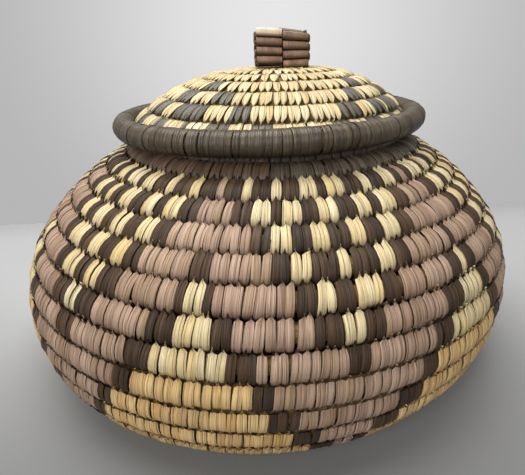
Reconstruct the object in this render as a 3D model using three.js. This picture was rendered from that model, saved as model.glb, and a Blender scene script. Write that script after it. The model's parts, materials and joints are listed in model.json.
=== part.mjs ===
// A coiled basket with a lift-off lid, in millimetres, +Z up, standing on the middle of its base.
// One grass bundle winds from the middle of the base to the mouth, and strips of palm leaf wrap it.
// The lid is a second such coil under a thick rim, with a square braid of four palm strips as its knob.
// Every coil's cross sections lie on one profile, so the pieces follow when a size is changed.

import * as THREE from "three";

// Coil of the body
const baseRoundCount = 8;
const wallRoundCount = 13;
const topRounds = ["neck_round", "mouth_round"];
const coilStartShare = 0.694; // of a round's width, from the axis to the middle of the coil's start
const coilDepth = 9.8; // through the wall
const stepsPerRound = 20;

// Profile of the body, along the middle of the coil from the axis to the mouth
const baseRadius = 102.8; // the flat that it stands on
const footBend = 27.8;
const bellyBend = 58.8;
const shoulderBend = 120.8;
const neckBend = 20; // back the other way, up into the lid
const footTurn = THREE.MathUtils.degToRad(67.4);
const bellyTurn = THREE.MathUtils.degToRad(62.1);
const shoulderTurn = THREE.MathUtils.degToRad(25.8);
const neckTurn = THREE.MathUtils.degToRad(54);

// Coil and profile of the lid
const rimOverhang = 14.4; // from the middle of the mouth's end out to the middle of the rim's roll
const lidRoundCount = 7;
const lidStartShare = 0.888;
const lidDepth = 8.6;
const lidStepsPerRound = 16;
const domeBend = 80.5;
const domeTurn = THREE.MathUtils.degToRad(42.3); // as far as the coil's end

// Rim of the lid
const rimRadius = 5.8; // of its wrapped roll
const rimWrap = 1.5;
const rimSides = 8;
const rimBoreSides = 4;

// What both coils share
const wrapThickness = 1.1;
const roundGap = 0.6; // between neighbouring rounds
const fitGap = 0.32; // between pieces that touch
const mouthEndShare = 0.6; // how thick the last round is at its end
const lidEndShare = 0.5;
const goldenShare = 1 / 3; // of the wall's rounds, from below, in the darker leaf
const leanShare = 0.058; // sideways for each millimetre of height
const domeLeanShare = 0.13; // the same, more, for the dome

// Knots where the coils begin
const knotSteps = 16;
const tailRadius = 1.2; // the twisted tails of the knob's strips
const tailKnotRadius = 5;
const tailKnotHeight = 7;
const tailSides = 10;

// Knob: a square braid
const stripWidth = 13.6;
const stripThickness = 0.75;
const stripLevel = 1.09; // height between crossing runs
const stripLoopRadius = 1.55; // middle of the strip, where it folds on a face
const foldsPerStrip = 8;
const foldPoints = 5;
const leastMitre = 0.5; // a strip's outline is never drawn out further than this allows at a corner

const palmNatural = [0xd9c48f, 0.62];
const palmGolden = [0xc2a066, 0.64];
const palmMauve = [0xa58a7c, 0.66];
const palmDark = [0x463b34, 0.6];
const palmRim = [0x5f5a4e, 0.58];
const palmKnob = [0x7a5f4e, 0.6];
const grass = [0xb59a63, 0.85];

const body = new THREE.Group();
const lid = new THREE.Group();
const lean = new THREE.Matrix4().set(1, 0, leanShare, 0, 0, 1, 0, 0, 0, 0, 1, 0, 0, 0, 0, 1);

function addPiece(group, name, geometry, [color, roughness]) {
  const material = new THREE.MeshStandardMaterial({ color, roughness, metalness: 0 });
  const mesh = new THREE.Mesh(geometry.applyMatrix4(lean), material);
  mesh.name = name;
  group.add(mesh);
}

// A profile starts level at the axis, runs flat, then follows its bends.
// A bend the other way has a radius below zero.
// Side is 1 where it rises with its outer face below, and -1 where it falls with its outer face above.
function profilePoint(profile, arc) {
  let radius = Math.min(arc, profile.flat);
  let height = profile.height;
  let angle = 0;
  let left = arc - radius;
  profile.bends.forEach((bend, i) => {
    if (left <= 0) return;
    const last = i === profile.bends.length - 1;
    const length = last ? left : Math.min(left, Math.abs(bend.radius) * bend.turn);
    const next = angle + (profile.side * length) / bend.radius;
    radius += profile.side * bend.radius * (Math.sin(next) - Math.sin(angle));
    height += profile.side * bend.radius * (Math.cos(angle) - Math.cos(next));
    angle = next;
    left -= length;
  });
  return { radius, height, angle };
}

function profileLength(profile) {
  return profile.flat + profile.bends.reduce((sum, bend) => sum + Math.abs(bend.radius) * bend.turn, 0);
}

// The frame of one cross section: its middle, the way along the profile, and the way out of the wall.
function crossSection(profile, arc, azimuth) {
  const { radius, height, angle } = profilePoint(profile, arc);
  const around = (r, z) => new THREE.Vector3(r * Math.sin(azimuth), -r * Math.cos(azimuth), z);
  return {
    middle: around(radius, height),
    along: around(Math.cos(angle), Math.sin(angle)),
    out: around(profile.side * Math.sin(angle), -profile.side * Math.cos(angle)),
  };
}

// The corners of a regular polygon in a cross section, stretched to a width along and a depth out.
function sectionCorners(section, shape, scale) {
  return Array.from({ length: shape.sides }, (_, k) => {
    const a = shape.phase + (2 * Math.PI * k) / shape.sides;
    return section.middle
      .clone()
      .addScaledVector(section.along, shape.along * scale * Math.cos(a))
      .addScaledVector(section.out, shape.out * scale * Math.sin(a));
  });
}

// A closed tube through rings of corners, with a bore through it where bore rings are given.
function tube(rings, bores) {
  const positions = [];
  const index = [];
  const wall = (loops, flip) => {
    const first = positions.length / 3;
    const sides = loops[0].length;
    loops.flat().forEach((corner) => positions.push(corner.x, corner.y, corner.z));
    for (let i = 0; i + 1 < loops.length; i++)
      for (let k = 0; k < sides; k++) {
        const a = first + i * sides + k;
        const b = first + i * sides + ((k + 1) % sides);
        const [c, d] = [a + sides, b + sides];
        index.push(...(flip ? [a, b, c, b, d, c] : [a, c, b, b, c, d]));
      }
    return first;
  };
  const outer = wall(rings, false);
  const inner = bores ? wall(bores, true) : 0;
  const flat = (ring, middle, x, y) =>
    ring.map((corner) => {
      const v = corner.clone().sub(middle);
      return new THREE.Vector2(v.dot(x), v.dot(y));
    });
  const cap = (i, reverse) => {
    const ring = rings[i];
    const middle = new THREE.Vector3();
    ring.forEach((corner) => middle.addScaledVector(corner, 1 / ring.length));
    const x = ring[0].clone().sub(middle).normalize();
    const normal = x.clone().cross(ring[1].clone().sub(middle)).normalize();
    const y = normal.cross(x);
    const outline = flat(ring, middle, x, y);
    const hole = bores ? flat(bores[i], middle, x, y).reverse() : [];
    const number = (k) => {
      if (k < ring.length) return outer + i * ring.length + k;
      return inner + i * hole.length + (hole.length - 1 - (k - ring.length));
    };
    THREE.ShapeUtils.triangulateShape(outline, bores ? [hole] : []).forEach((face) => {
      const [a, b, c] = face.map(number);
      index.push(...(reverse ? [a, c, b] : [a, b, c]));
    });
  };
  cap(0, false);
  cap(rings.length - 1, true);
  const geometry = new THREE.BufferGeometry();
  geometry.setAttribute("position", new THREE.Float32BufferAttribute(positions, 3));
  geometry.setIndex(index);
  return geometry;
}

// A coil's shapes: six sides for the wrap, its flats facing in and out, and three for the bundle in it.
function coilShapes(pitch, depth) {
  const bore = depth / 2 - wrapThickness;
  const bundle = bore - 2 * fitGap;
  return {
    wrap: { sides: 6, phase: 0, along: (pitch - roundGap) / 2, out: depth / 2 / Math.sin(Math.PI / 3) },
    bore: { sides: 3, phase: -Math.PI / 2, along: bore, out: bore },
    bundle: { sides: 3, phase: -Math.PI / 2, along: bundle, out: bundle },
  };
}

// The pitch is from the middle of one round to the middle of the next, and the start is off the axis.
function makeCoil(coil) {
  return { ...coil, start: coil.startShare * coil.pitch, ...coilShapes(coil.pitch, coil.depth) };
}

// The last round thins towards its end, and keeps against the round before it.
function thicknessAt(coil, turns) {
  return 1 - (1 - coil.endShare) * Math.max(0, turns - (coil.rounds - 1));
}

function coilSection(coil, turns) {
  const scale = thicknessAt(coil, turns);
  const arc = coil.start + (turns - (1 - scale) / 2) * coil.pitch;
  return { section: crossSection(coil.profile, arc, coil.way * (2 * Math.PI * turns - Math.PI)), scale };
}

// Rings of corners from one turn to another, a little trimmed off both ends where a wrap meets the next.
function coilRings(coil, shape, from, to, trim) {
  const count = Math.round((to - from) * coil.steps);
  return Array.from({ length: count + 1 }, (_, i) => {
    let turns = from + i / coil.steps;
    const reach = 2 * Math.PI * profilePoint(coil.profile, coil.start + turns * coil.pitch).radius;
    if (i === 0) turns += trim / reach;
    if (i === count) turns -= trim / reach;
    const { section, scale } = coilSection(coil, turns);
    return sectionCorners(section, shape, scale);
  });
}

// Least distance between corners that lie one turn apart.
function leastGap(rings, steps) {
  let least = Infinity;
  for (let i = 0; i + steps < rings.length; i++) {
    const gaps = rings[i].flatMap((a) => rings[i + steps].map((b) => a.distanceTo(b)));
    least = Math.min(least, ...gaps);
  }
  return least;
}

function addCoil(group, coil, bundleName, roundNames, colours, bend) {
  const bundle = coilRings(coil, coil.bundle, 0, coil.rounds, fitGap / 2);
  addPiece(group, bundleName, bend(tube(bundle)), grass);
  roundNames.forEach((name, i) => {
    const wrap = coilRings(coil, coil.wrap, i, i + 1, fitGap / 2);
    const bore = coilRings(coil, coil.bore, i, i + 1, fitGap / 2);
    addPiece(group, name, bend(tube(wrap, bore)), colours[i]);
  });
  const wraps = coilRings(coil, coil.wrap, 0, coil.rounds, 0);
  const [own, wrapped] = [bundle, wraps].map((rings) => leastGap(rings, coil.steps).toFixed(2));
  console.log(`${bundleName}: ${coil.rounds} loops, ${own} mm to itself, ${wrapped} mm between rounds`);
}

const twoDigits = (n) => String(n).padStart(2, "0");
const asBuilt = (geometry) => geometry;

// Body: the rounds of the base and the wall, a dark neck, and the mouth that the lid covers
const bodyProfile = {
  side: 1,
  flat: baseRadius,
  height: coilDepth / 2,
  bends: [
    { radius: footBend, turn: footTurn },
    { radius: bellyBend, turn: bellyTurn },
    { radius: shoulderBend, turn: shoulderTurn },
    { radius: -neckBend, turn: neckTurn },
  ],
};
const bodyRoundCount = baseRoundCount + wallRoundCount + topRounds.length;
const bodyLength = profileLength(bodyProfile);
const bodyCoil = makeCoil({
  profile: bodyProfile,
  rounds: bodyRoundCount,
  startShare: coilStartShare,
  pitch: bodyLength / (bodyRoundCount + coilStartShare),
  depth: coilDepth,
  steps: stepsPerRound,
  way: -1,
  endShare: mouthEndShare,
});
const bodyNames = [];
for (let i = 1; i <= baseRoundCount; i++) bodyNames.push("base_round_" + twoDigits(i));
for (let i = 1; i <= wallRoundCount; i++) bodyNames.push("wall_round_" + twoDigits(i));
bodyNames.push(...topRounds);
const bodyColours = bodyNames.map((name, i) => {
  if (name === "neck_round") return palmDark;
  if (name === "mouth_round") return palmNatural;
  return i < baseRoundCount + wallRoundCount * goldenShare ? palmGolden : palmMauve;
});
addCoil(body, bodyCoil, "body_bundle", bodyNames, bodyColours, asBuilt);

// A snail-shaped knot fills the middle of a coil: its edge follows the first round.
function startKnot(coil, holeRadius) {
  const edge = coil.start - coil.wrap.along - fitGap;
  const outline = Array.from({ length: knotSteps + 1 }, (_, i) => {
    const r = edge + (coil.pitch * i * (1 - 1 / coil.steps)) / knotSteps;
    const azimuth = coil.way * ((2 * Math.PI * i) / knotSteps - Math.PI);
    return new THREE.Vector2(r * Math.sin(azimuth), -r * Math.cos(azimuth));
  });
  const last = outline[knotSteps];
  last.x += 2 * coil.way * fitGap;
  const shape = new THREE.Shape(outline);
  if (holeRadius) shape.holes.push(new THREE.Path().absarc(0, 0, holeRadius, 0, 2 * Math.PI));
  const geometry = new THREE.ExtrudeGeometry(shape, {
    depth: coil.depth,
    bevelEnabled: false,
    curveSegments: tailSides,
  });
  return geometry.translate(0, 0, coil.profile.height - coil.depth / 2);
}
addPiece(body, "base_start_knot", startKnot(bodyCoil, 0), palmNatural);

// Dome: its last round lies level with the middle of the rim's roll, and ends thin against it.
// The rounds share out the dome's whole length evenly, and their pitch follows from it.
const mouthEnd = profilePoint(bodyProfile, bodyLength);
const mouthTop = mouthEnd.height + mouthEndShare * bodyCoil.wrap.along;
const lidRadius = mouthEnd.radius + rimOverhang;
const domeEdge = lidRadius - rimRadius - fitGap + (lidEndShare * roundGap) / 2;
const domeSpan = domeEdge - domeBend * Math.sin(domeTurn);
const lidPitch = (domeSpan + domeBend * domeTurn) / (lidRoundCount + lidStartShare - 1 / 2 + lidEndShare);
const domeFlat = domeSpan - (lidEndShare * lidPitch) / 2;
const domeDrop = domeBend * (1 - Math.cos(domeTurn));
const domeProfile = {
  side: -1,
  flat: domeFlat,
  height: mouthTop + domeDrop,
  bends: [{ radius: domeBend, turn: domeTurn }],
};
const rimMiddle = { radius: lidRadius, height: mouthTop };

function rimRings(sides, radius) {
  const shape = { sides, phase: Math.PI / sides, along: radius, out: radius };
  const trim = fitGap / 2 / rimMiddle.radius;
  return Array.from({ length: stepsPerRound + 1 }, (_, i) => {
    let azimuth = (2 * Math.PI * i) / stepsPerRound - Math.PI;
    if (i === 0) azimuth += trim;
    if (i === stepsPerRound) azimuth -= trim;
    const around = (r, z) => new THREE.Vector3(r * Math.sin(azimuth), -r * Math.cos(azimuth), z);
    const middle = around(rimMiddle.radius, rimMiddle.height);
    return sectionCorners({ middle, along: around(1, 0), out: around(0, 1) }, shape, 1);
  });
}
const rimBore = rimRadius - rimWrap;
const rimCore = rimBore - fitGap / Math.cos(Math.PI / rimBoreSides);
const rimOuter = rimRings(rimSides, rimRadius);
addPiece(lid, "lid_rim_wrap", tube(rimOuter, rimRings(rimBoreSides, rimBore)), palmRim);
addPiece(lid, "lid_rim_bundle", tube(rimRings(rimBoreSides, rimCore)), grass);

const domeCoil = makeCoil({
  profile: domeProfile,
  rounds: lidRoundCount,
  startShare: lidStartShare,
  pitch: lidPitch,
  depth: lidDepth,
  steps: lidStepsPerRound,
  way: 1,
  endShare: lidEndShare,
});
const domeSlip = domeLeanShare * rimMiddle.height;
const domeLean = new THREE.Matrix4();
domeLean.set(1, 0, domeLeanShare, -domeSlip, 0, 1, 0, 0, 0, 0, 1, 0, 0, 0, 0, 1);
const leanDome = (geometry) => geometry.applyMatrix4(domeLean);
const lidNames = [];
for (let i = 1; i <= lidRoundCount; i++) lidNames.push("lid_round_" + twoDigits(i));
const lidColours = lidNames.map(() => palmNatural);
addCoil(lid, domeCoil, "lid_bundle", lidNames, lidColours, leanDome);
addPiece(lid, "lid_start_knot", leanDome(startKnot(domeCoil, tailRadius + fitGap)), palmNatural);

// Knob: two pairs of strips cross level by level, and each folds back on alternate faces
const foldReach = stripLoopRadius + stripThickness / 2 - stripLevel; // below the lowest run
const knobFoot = domeProfile.height + lidDepth / 2 + fitGap + foldReach;
const runEnd = stripWidth + fitGap;

// The knob stands upright, where the lean would take its top
const undoneLean = leanShare + domeLeanShare;
const undoneShift = undoneLean * (knobFoot + 2 * foldsPerStrip * stripLevel);
const upright = new THREE.Matrix4();
upright.set(1, 0, -undoneLean, undoneShift, 0, 1, 0, 0, 0, 0, 1, 0, 0, 0, 0, 1);

const loopAngle = Math.PI - Math.asin(stripLevel / stripLoopRadius);
const loopMiddle = runEnd + stripLoopRadius * Math.cos(Math.PI - loopAngle);

function foldedLine(folds, firstFace) {
  const line = [new THREE.Vector2(-firstFace * stripWidth, 0)];
  for (let fold = 0; fold < folds; fold++) {
    const face = fold % 2 ? -firstFace : firstFace;
    for (let k = 0; k < foldPoints; k++) {
      const a = -loopAngle + (2 * loopAngle * k) / (foldPoints - 1);
      const x = loopMiddle + stripLoopRadius * Math.cos(a);
      const z = (2 * fold + 1) * stripLevel + stripLoopRadius * Math.sin(a);
      line.push(new THREE.Vector2(face * x, z));
    }
  }
  const lastFace = folds % 2 ? -firstFace : firstFace;
  line.push(new THREE.Vector2(lastFace * stripWidth, 2 * folds * stripLevel));
  return line;
}

// A line given the strip's thickness, as a closed outline
function stripOutline(line) {
  const side = (sign) =>
    line.map((point, i) => {
      const before = point.clone().sub(line[Math.max(i - 1, 0)]).normalize();
      const after = line[Math.min(i + 1, line.length - 1)].clone().sub(point).normalize();
      const way = before.clone().add(after).normalize();
      const half = stripThickness / 2 / Math.max(way.dot(i ? before : after), leastMitre);
      return new THREE.Vector2(point.x - sign * way.y * half, point.y + sign * way.x * half);
    });
  return side(1).concat(side(-1).reverse());
}

function knobStrip(folds, firstFace, side, quarter, level) {
  const shape = new THREE.Shape(stripOutline(foldedLine(folds, firstFace)));
  const depth = stripWidth - fitGap;
  const geometry = new THREE.ExtrudeGeometry(shape, { depth, bevelEnabled: false });
  geometry.rotateX(Math.PI / 2).translate(0, (side > 0 ? stripWidth : 0) - fitGap / 2, 0);
  geometry.rotateZ(quarter).translate(0, 0, knobFoot + level * stripLevel);
  return leanDome(geometry.applyMatrix4(upright));
}
const crosswise = Math.PI / 2;
addPiece(lid, "knob_strip_left", knobStrip(foldsPerStrip, 1, 1, crosswise, 0), palmKnob);
addPiece(lid, "knob_strip_right", knobStrip(foldsPerStrip, -1, -1, crosswise, 0), palmKnob);
addPiece(lid, "knob_strip_front", knobStrip(foldsPerStrip - 1, -1, -1, 0, 1), palmKnob);
addPiece(lid, "knob_strip_back", knobStrip(foldsPerStrip - 1, 1, 1, 0, 1), palmKnob);

// The strips' tails go down through the middle of the lid and end in a knot under it
const tailTop = knobFoot - stripThickness / 2 - fitGap;
const tailSeat = domeProfile.height - lidDepth / 2 - fitGap;
const tailOutline = [
  [0, tailTop],
  [tailRadius, tailTop],
  [tailRadius, tailSeat],
  [tailKnotRadius, tailSeat],
  [tailKnotRadius, tailSeat - tailKnotHeight / 2],
  [tailRadius, tailSeat - tailKnotHeight],
  [0, tailSeat - tailKnotHeight],
].map(([r, z]) => new THREE.Vector2(r, z));
const tail = new THREE.LatheGeometry(tailOutline.reverse(), tailSides).rotateX(Math.PI / 2);
addPiece(lid, "knob_tail_knot", leanDome(tail), palmKnob);

// The lid is made above the mouth, and comes down until a corner of one nearly meets a face of the other.
function clearDrop(lower, upper) {
  const ray = new THREE.Raycaster();
  const corner = new THREE.Vector3();
  const reach = (from, to, way) => {
    const corners = from.geometry.getAttribute("position");
    let least = Infinity;
    for (let i = 0; i < corners.count; i++) {
      ray.set(corner.fromBufferAttribute(corners, i), new THREE.Vector3(0, 0, way));
      least = Math.min(least, ...ray.intersectObject(to).map((hit) => hit.distance));
    }
    return least;
  };
  return Math.min(reach(lower, upper, 1), reach(upper, lower, -1));
}
const mouthRound = body.getObjectByName("mouth_round");
const overMouth = lidNames.slice(-2).map((name) => lid.getObjectByName(name));
const restDrop = Math.min(...overMouth.map((round) => clearDrop(mouthRound, round))) - 2 * fitGap;
lid.children.forEach((mesh) => mesh.geometry.translate(0, 0, -restDrop));
const rimHeight = rimMiddle.height - restDrop;
console.log(`the lid came down ${restDrop.toFixed(2)} mm, its rim's middle to ${rimHeight.toFixed(2)} mm`);

const basket = new THREE.Group();
basket.add(body, lid);

export default basket;
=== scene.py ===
# A coiled basket with a lift-off lid: split palm leaf wrapped round a grass coil, and a braided knob.
# Lengths are in millimetres until a piece's mesh is made, and azimuth 0 is the front, towards -Y.

import json
import math

import bpy
import numpy as np
from mathutils import Matrix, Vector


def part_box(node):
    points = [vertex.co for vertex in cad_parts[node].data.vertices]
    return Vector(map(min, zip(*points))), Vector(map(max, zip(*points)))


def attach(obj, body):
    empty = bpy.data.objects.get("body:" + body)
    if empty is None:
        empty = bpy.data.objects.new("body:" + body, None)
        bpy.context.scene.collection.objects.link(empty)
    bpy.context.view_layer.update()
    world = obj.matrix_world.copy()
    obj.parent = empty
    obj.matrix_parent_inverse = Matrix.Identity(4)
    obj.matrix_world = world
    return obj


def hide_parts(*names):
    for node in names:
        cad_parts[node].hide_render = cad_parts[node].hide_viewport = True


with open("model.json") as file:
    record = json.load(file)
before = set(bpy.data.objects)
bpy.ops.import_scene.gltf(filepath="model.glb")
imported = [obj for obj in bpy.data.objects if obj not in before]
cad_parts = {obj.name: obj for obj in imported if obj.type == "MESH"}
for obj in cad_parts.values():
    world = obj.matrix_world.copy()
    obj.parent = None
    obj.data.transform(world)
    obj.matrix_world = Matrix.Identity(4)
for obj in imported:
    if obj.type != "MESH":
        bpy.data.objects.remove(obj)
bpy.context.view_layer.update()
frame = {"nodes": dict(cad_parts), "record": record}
random = np.random.default_rng(31)
slotOf = {entry["node"]: entry["material_slot"] for entry in frame["record"]["subparts"]}
print("frame loaded,", len(frame["nodes"]), "nodes")


# Camera, as the photograph was taken

view = {
    "place": (-1.59, -260.5, 167.7),
    "down": 0.4119,  # below level, radians
    "right": 0.0132,
    "roll": -0.0401,
    "focal": 440.0,  # pixels
    "width": 525.0,  # pixels across the photograph
    "sensor": 36.0,
    "nearest": 0.01,  # metres
}


def standing(right, up, back, spot):
    # a matrix of three directions and a spot in metres
    return Matrix([[right[i], up[i], back[i], spot[i]] for i in range(3)] + [[0, 0, 0, 1]])


def makeCamera(view):
    # the way ahead is turned right and then down, and the picture's upright is rolled about it
    down, right, roll = view["down"], view["right"], view["roll"]
    ahead = np.array([math.sin(right) * math.cos(down), math.cos(right) * math.cos(down), -math.sin(down)])
    level = np.array([math.cos(right), -math.sin(right), 0.0])
    upright = np.cross(level, ahead)
    across = math.cos(roll) * level + math.sin(roll) * upright
    up = -math.sin(roll) * level + math.cos(roll) * upright
    lens = bpy.data.cameras.new("camera")
    lens.sensor_width = view["sensor"]
    lens.lens = lens.sensor_width * view["focal"] / view["width"]
    lens.clip_start = view["nearest"]
    camera = bpy.data.objects.new("camera", lens)
    camera.matrix_world = standing(across, up, -ahead, np.array(view["place"]) / 1000)
    bpy.context.collection.objects.link(camera)
    bpy.context.scene.camera = camera


makeCamera(view)


# Materials

def addNode(tree, kind, links=None, **values):
    # a node with its settings, and links to its inputs by name or number
    node = tree.nodes.new("ShaderNode" + kind)
    for key, value in values.items():
        setattr(node, key, value)
    for key, source in (links or {}).items():
        if isinstance(source, bpy.types.NodeSocket):
            tree.links.new(source, node.inputs[key])
        else:
            node.inputs[key].default_value = source
    return node


def calc(tree, operation, a, b=0.0, clamp=False):
    # one step of arithmetic
    return addNode(tree, "Math", {0: a, 1: b}, operation=operation, use_clamp=clamp).outputs[0]


def ramp(tree, value, span, low, high, kind="LINEAR"):
    # from low to high while the value crosses the span, and level on both sides of it
    links = {0: value, 1: span[0], 2: span[1], 3: low, 4: high}
    return addNode(tree, "MapRange", links, interpolation_type=kind).outputs[0]


def blendColour(tree, amount, a, b):
    # colour a turning into colour b by the amount
    mix = addNode(tree, "Mix", data_type="RGBA")
    for socket, source in zip((mix.inputs[0], mix.inputs[6], mix.inputs[7]), (amount, a, b)):
        if isinstance(source, bpy.types.NodeSocket):
            tree.links.new(source, socket)
        else:
            socket.default_value = source
    return mix.outputs[2]


def linear(colour):
    # the sRGB curve undone, with an alpha of one
    value = np.array(colour) / 255.0
    value = np.where(value <= 0.04045, value / 12.92, ((value + 0.055) / 1.055) ** 2.4)
    return (*map(float, value), 1.0)


def noise(tree, vector, scale, detail):
    # soft noise from 0 to 1
    return addNode(tree, "TexNoise", {"Vector": vector, "Scale": scale, "Detail": detail}).outputs["Fac"]


def whiteNoise(tree, value):
    # an even draw from 0 to 1 for each value
    return addNode(tree, "TexWhiteNoise", {"W": value}, noise_dimensions="1D").outputs["Value"]


grain = {
    # how every leaf's marks are drawn, each over its span of the noise or of the strip's half width
    "seedStep": 57.0,  # takes each strip to a place of its own in the noise
    "broadLong": 0.7, "broadDetail": 1.0, "fineLong": 0.8, "fineDetail": 2.0, "stainDetail": 3.0,
    "middle": 0.5, "contrast": 1.5, "darker": -0.25,
    # the edge span is where painted shade darkens each strip towards its sides
    "fold": (0.0, 0.035), "stain": (0.48, 0.72), "odd": (0.72, 0.9), "line": (0.56, 0.68), "edge": (0.9, 1.0),
    "split": (0.02, 0.09), "splitLeft": -0.9, "splitRight": 0.9,
    "foldDepth": 0.5, "deep": 0.0003,  # metres
    "rough": (0.3, 0.7), "smoother": -0.08, "rougher": 0.1,
}


def leafMaterial(name, look):
    # fibres run down the strip: noise stretched along it, from the strip's own across, down and seed
    material = bpy.data.materials.new(name)
    material.use_nodes = True
    tree = material.node_tree
    shader = tree.nodes["Principled BSDF"]
    leaf = addNode(tree, "Attribute", attribute_name="leaf")
    across, down, seed = addNode(tree, "SeparateXYZ", {0: leaf.outputs["Vector"]}).outputs
    tone = addNode(tree, "Attribute", attribute_name="tone").outputs["Fac"]
    shade = addNode(tree, "Attribute", attribute_name="shade").outputs["Fac"]
    shift = calc(tree, "MULTIPLY", seed, grain["seedStep"])

    def fibres(wide, long, detail):
        x = calc(tree, "MULTIPLY", across, wide)
        y = calc(tree, "MULTIPLY", down, long)
        return noise(tree, addNode(tree, "CombineXYZ", {0: x, 1: y, 2: shift}).outputs[0], 1.0, detail)

    broad = fibres(look["broad"], grain["broadLong"], grain["broadDetail"])
    fine = fibres(look["fine"], grain["fineLong"], grain["fineDetail"])
    fold = calc(tree, "ABSOLUTE", calc(tree, "SUBTRACT", broad, grain["middle"]))
    fold = ramp(tree, fold, grain["fold"], 1.0, 0.0)
    cloud = noise(tree, addNode(tree, "TexCoord").outputs["Object"], look["stainScale"], grain["stainDetail"])
    splitAt = ramp(tree, whiteNoise(tree, shift), (0.0, 1.0), grain["splitLeft"], grain["splitRight"])
    split = calc(tree, "ABSOLUTE", calc(tree, "SUBTRACT", across, splitAt))
    split = ramp(tree, split, grain["split"], look["split"], 0.0)

    links = {0: broad, 1: grain["contrast"], 2: grain["darker"]}
    amount = addNode(tree, "Math", links, operation="MULTIPLY_ADD").outputs[0]
    amount = calc(tree, "ADD", amount, calc(tree, "MULTIPLY", tone, look["toneSpread"]), clamp=True)
    colour = blendColour(tree, amount, linear(look["deep"]), linear(look["pale"]))
    stain = ramp(tree, cloud, grain["stain"], 0.0, look["stain"])
    colour = blendColour(tree, stain, colour, linear(look["stainColour"]))
    odd = ramp(tree, whiteNoise(tree, seed), grain["odd"], 0.0, look["odd"])
    colour = blendColour(tree, odd, colour, linear(look["oddColour"]))
    line = ramp(tree, fine, grain["line"], 0.0, look["lines"])
    line = calc(tree, "MAXIMUM", line, calc(tree, "MULTIPLY", fold, look["folds"]))
    colour = blendColour(tree, line, colour, linear(look["lineColour"]))
    # painted shade: each strip darkens towards its sides, and wherever its shade attribute says; the split is
    # a dark line in the leaf itself, drawn in the same dark colour
    edge = ramp(tree, calc(tree, "ABSOLUTE", across), grain["edge"], 0.0, look["edge"])
    edge = calc(tree, "MAXIMUM", edge, split)
    edge = calc(tree, "MAXIMUM", edge, calc(tree, "MULTIPLY", shade, look["shade"]))
    colour = blendColour(tree, edge, colour, linear(look["splitAndShadeColour"]))
    tree.links.new(colour, shader.inputs["Base Color"])

    dents = calc(tree, "ADD", calc(tree, "MULTIPLY", fold, grain["foldDepth"]), split)
    height = calc(tree, "SUBTRACT", calc(tree, "ADD", broad, fine), dents)
    bump = addNode(tree, "Bump", {"Height": height, "Strength": look["bump"], "Distance": grain["deep"]})
    tree.links.new(bump.outputs[0], shader.inputs["Normal"])
    smooth, rough = look["rough"] + grain["smoother"], look["rough"] + grain["rougher"]
    tree.links.new(ramp(tree, fine, grain["rough"], smooth, rough), shader.inputs["Roughness"])
    shader.inputs["Specular IOR Level"].default_value = look["shine"]
    return material


leafLook = {
    "pale": (238, 224, 182), "deep": (218, 196, 146), "toneSpread": 0.25, "broad": 1.7, "fine": 6.0,
    "stain": 0.3, "stainScale": 34.0, "stainColour": (204, 172, 116),
    "odd": 0.5, "oddColour": (220, 184, 112), "lines": 0.75, "lineColour": (152, 122, 80), "folds": 0.55,
    # edge and shade set how strongly painted shade darkens a strip's sides and its shaded parts; the same
    # dark colour also draws the leaf's splits
    "edge": 0.85, "shade": 0.85, "splitAndShadeColour": (84, 62, 38), "split": 0.8,
    "bump": 0.8, "rough": 0.5, "shine": 0.4,
}
knobLook = leafLook | {
    # broad strips, whose fibres are closer and fainter
    "odd": 0.0, "lines": 0.3, "folds": 0.15, "split": 0.0, "edge": 0.3, "fine": 14.0, "broad": 1.2,
}
palmNatural = leafMaterial("palm_natural", leafLook)
palmGolden = leafMaterial("palm_golden", leafLook | {
    "pale": (244, 210, 148), "deep": (214, 173, 110), "stainColour": (176, 138, 92), "odd": 0.4,
    "oddColour": (192, 154, 116), "lineColour": (134, 100, 62)})
palmMauve = leafMaterial("palm_mauve", leafLook | {
    "pale": (198, 168, 146), "deep": (156, 126, 104), "stain": 0.4, "stainColour": (160, 134, 98),
    "oddColour": (176, 150, 112), "lineColour": (106, 80, 62), "splitAndShadeColour": (48, 33, 25)})
palmDark = leafMaterial("palm_dark", leafLook | {
    "pale": (96, 74, 54), "deep": (58, 42, 30), "stain": 0.4, "stainColour": (92, 76, 54),
    "oddColour": (64, 56, 52), "lines": 0.6, "lineColour": (36, 27, 21), "splitAndShadeColour": (14, 10, 8),
    "shine": 0.25})
palmBrown = leafMaterial("palm_brown", leafLook | {
    "pale": (142, 114, 92), "deep": (100, 78, 62), "stain": 0.5, "stainColour": (96, 80, 56),
    "oddColour": (76, 62, 54), "lines": 0.6, "lineColour": (52, 38, 30), "splitAndShadeColour": (18, 13, 10),
    "rough": 0.42, "shine": 0.5})
palmRim = leafMaterial("palm_rim", leafLook | {
    "pale": (102, 87, 66), "deep": (66, 53, 38), "stain": 0.6, "stainColour": (98, 94, 78),
    "stainScale": 12.0, "odd": 0.4, "oddColour": (96, 84, 68), "lines": 0.55, "lineColour": (48, 40, 31),
    "shade": 1.0, "splitAndShadeColour": (14, 11, 8), "fine": 7.0, "rough": 0.32, "shine": 0.6})
palmAsh = leafMaterial("palm_ash", leafLook | {
    "pale": (138, 124, 106), "deep": (98, 86, 71), "stain": 0.4, "stainColour": (104, 92, 66),
    "oddColour": (90, 78, 66), "lineColour": (56, 46, 37), "splitAndShadeColour": (18, 14, 10), "rough": 0.42,
    "shine": 0.5})
palmSmoke = leafMaterial("palm_smoke", leafLook | {
    "pale": (128, 122, 106), "deep": (86, 80, 68), "stain": 0.4, "stainColour": (104, 98, 80),
    "oddColour": (84, 72, 66), "lines": 0.6, "lineColour": (48, 42, 34), "splitAndShadeColour": (22, 18, 13),
    "rough": 0.4, "shine": 0.5})
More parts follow.
